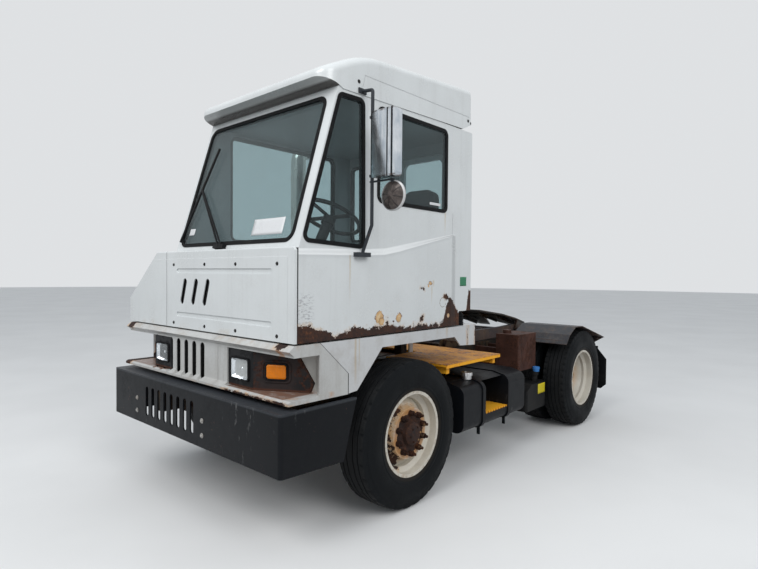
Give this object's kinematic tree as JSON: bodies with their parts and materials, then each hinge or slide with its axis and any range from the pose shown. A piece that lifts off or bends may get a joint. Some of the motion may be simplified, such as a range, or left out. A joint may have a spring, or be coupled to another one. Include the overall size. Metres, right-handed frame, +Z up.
{
  "type": "terminal tractor",
  "caption": "Short yard truck with an offset cab, steered front axle, lifting boom and tilting fifth-wheel coupling.",
  "frame": {"origin": "on the ground under the middle of the overall length and width", "axes": "+Y towards the rear, +X to the driver's left, +Z up"},
  "size_m": [2.653, 4.79, 3.1675],
  "materials": {
    "white_paint": "gloss, weathered",
    "grey_paint": "satin, weathered",
    "black_paint": "satin",
    "chassis_paint": "matt, dusty",
    "orange_paint": "matt, worn",
    "rusty_steel": "matt, rusty",
    "rim_paint": "satin, rust-stained",
    "guard_paint": "satin",
    "glass": "clear, dusty",
    "rubber": "matt",
    "tyre": "matt",
    "clear_lens": "clear",
    "amber_lens": "gloss",
    "red_lens": "gloss",
    "mirror_chrome": "polished",
    "stack_chrome": "heat-stained",
    "black_plastic": "grained",
    "seat_cloth": "woven",
    "cast_iron": "rough",
    "greased_steel": "greasy",
    "rod_chrome": "polished",
    "aluminium": "oxidised"
  },
  "bodies": {
    "chassis": {"frame": "chassis_paint", "tail_channel": "chassis_paint", "tail_lamps": "red_lens", "bumper": "black_paint", "fascia": "grey_paint", "lamp_bezels": "rusty_steel", "head_lamps": "clear_lens", "turn_lamps": "amber_lens", "radiator": "aluminium", "engine": "cast_iron", "front_axle": "chassis_paint", "front_springs": "chassis_paint", "rear_axle": "cast_iron", "drive_shaft": "cast_iron", "fenders": "white_paint", "cab_mounts": "rubber", "fuel_tank": "black_paint", "lower_step": "orange_paint", "deck": "orange_paint", "def_tank": "black_plastic", "oil_tank": "rusty_steel", "battery_box": "black_paint", "exhaust_stack": "stack_chrome", "air_cleaner": "black_paint", "mudguards": "guard_paint", "mud_flaps": "rubber", "boom_pedestal": "chassis_paint", "cylinder_mounts": "chassis_paint"},
    "boom": {"boom": "guard_paint"},
    "fifth_wheel": {"fifth_wheel": "greased_steel"},
    "tie_rod": {"tie_rod": "chassis_paint"},
    "cab": {"cab_shell": "white_paint", "window_seals": "rubber", "cab_glass": "glass", "front_panel": "white_paint", "shoulder": "white_paint", "roof": "white_paint", "seat": "seat_cloth", "dash": "black_plastic", "mirror_bracket": "black_paint", "mirror_heads": "mirror_chrome", "wiper": "black_paint"},
    "steering_wheel": {"steering_wheel": "black_plastic"},
    "rear_door": {"rear_door": "white_paint", "rear_door_glass": "glass"},
    "knuckle_left": {"knuckle_left": "cast_iron"},
    "front_wheel_left": {"front_rim_left": "rim_paint", "front_tyre_left": "tyre"},
    "rear_wheels_left": {"rear_rims_left": "rim_paint", "rear_tyres_left": "tyre"},
    "lift_barrel_left": {"lift_barrel_left": "black_paint"},
    "lift_rod_left": {"lift_rod_left": "rod_chrome"},
    "knuckle_right": {"knuckle_right": "cast_iron"},
    "front_wheel_right": {"front_rim_right": "rim_paint", "front_tyre_right": "tyre"},
    "rear_wheels_right": {"rear_rims_right": "rim_paint", "rear_tyres_right": "tyre"},
    "lift_barrel_right": {"lift_barrel_right": "black_paint"},
    "lift_rod_right": {"lift_rod_right": "rod_chrome"}
  },
  "joints": [
    {"name": "steer_left", "type": "hinge", "parent": "chassis", "child": "knuckle_left", "pos_m": [0.714, -1.245, 0.524], "axis": [0, 0, 1], "range_deg": [-35, 35]},
    {"name": "steer_right", "type": "hinge", "parent": "chassis", "child": "knuckle_right", "pos_m": [-0.886, -1.245, 0.524], "axis": [0, 0, 1], "range_deg": [-35.5, 35.5]},
    {"name": "tie_rod_pivot", "type": "hinge", "parent": "knuckle_left", "child": "tie_rod", "pos_m": [0.714, -1.015, 0.37], "axis": [0, 0, 1], "range_deg": [-35.5, 35.5]},
    {"name": "steering_wheel_turn", "type": "hinge", "parent": "cab", "child": "steering_wheel", "pos_m": [0.514, -1.575, 2.06], "axis": [0, 0.4695, 0.8829], "range_deg": [-565, 565]},
    {"name": "front_spin_left", "type": "hinge", "parent": "knuckle_left", "child": "front_wheel_left", "pos_m": [0.918, -1.245, 0.524], "axis": [1, 0, 0], "continuous": true},
    {"name": "front_spin_right", "type": "hinge", "parent": "knuckle_right", "child": "front_wheel_right", "pos_m": [-1.09, -1.245, 0.524], "axis": [1, 0, 0], "continuous": true},
    {"name": "rear_spin_left", "type": "hinge", "parent": "chassis", "child": "rear_wheels_left", "pos_m": [0.994, 1.701, 0.524], "axis": [1, 0, 0], "continuous": true},
    {"name": "rear_spin_right", "type": "hinge", "parent": "chassis", "child": "rear_wheels_right", "pos_m": [-1.166, 1.701, 0.524], "axis": [1, 0, 0], "continuous": true},
    {"name": "boom_lift", "type": "hinge", "parent": "chassis", "child": "boom", "pos_m": [-0.086, 0.255, 0.985], "axis": [1, 0, 0], "range_deg": [0, 16]},
    {"name": "fifth_wheel_tilt", "type": "hinge", "parent": "boom", "child": "fifth_wheel", "pos_m": [-0.086, 1.635, 1.04], "axis": [1, 0, 0], "range_deg": [0, 18]},
    {"name": "cab_tilt", "type": "hinge", "parent": "chassis", "child": "cab", "pos_m": [0.253, -2.279, 1.246], "axis": [1, 0, 0], "range_deg": [0, 45]},
    {"name": "rear_door_slide", "type": "slide", "parent": "cab", "child": "rear_door", "axis": [-1, 0, 0], "range_m": [0, 0.62]},
    {"name": "lift_barrel_left_pivot", "type": "hinge", "parent": "chassis", "child": "lift_barrel_left", "pos_m": [0.149, 0.655, 0.64], "axis": [1, 0, 0], "range_deg": [-1, 19]},
    {"name": "lift_rod_left_slide", "type": "slide", "parent": "lift_barrel_left", "child": "lift_rod_left", "axis": [0, 0.8455, 0.534], "range_m": [-0.002, 0.1486]},
    {"name": "lift_barrel_right_pivot", "type": "hinge", "parent": "chassis", "child": "lift_barrel_right", "pos_m": [-0.321, 0.655, 0.64], "axis": [1, 0, 0], "range_deg": [-1, 19]},
    {"name": "lift_rod_right_slide", "type": "slide", "parent": "lift_barrel_right", "child": "lift_rod_right", "axis": [0, 0.8455, 0.534], "range_m": [-0.002, 0.1486]}
  ],
  "couplings": [
    {"joint": "steer_right", "follows": "steer_left", "ratio": 1},
    {"joint": "tie_rod_pivot", "follows": "steer_left", "ratio": -1},
    {"joint": "steering_wheel_turn", "follows": "steer_left", "ratio": 16},
    {"joint": "lift_barrel_left_pivot", "follows": "boom_lift", "ratio": 1.0999},
    {"joint": "lift_rod_left_slide", "follows": "boom_lift", "m_per_rad": 0.52125},
    {"joint": "lift_barrel_right_pivot", "follows": "boom_lift", "ratio": 1.0999},
    {"joint": "lift_rod_right_slide", "follows": "boom_lift", "m_per_rad": 0.52125}
  ]
}
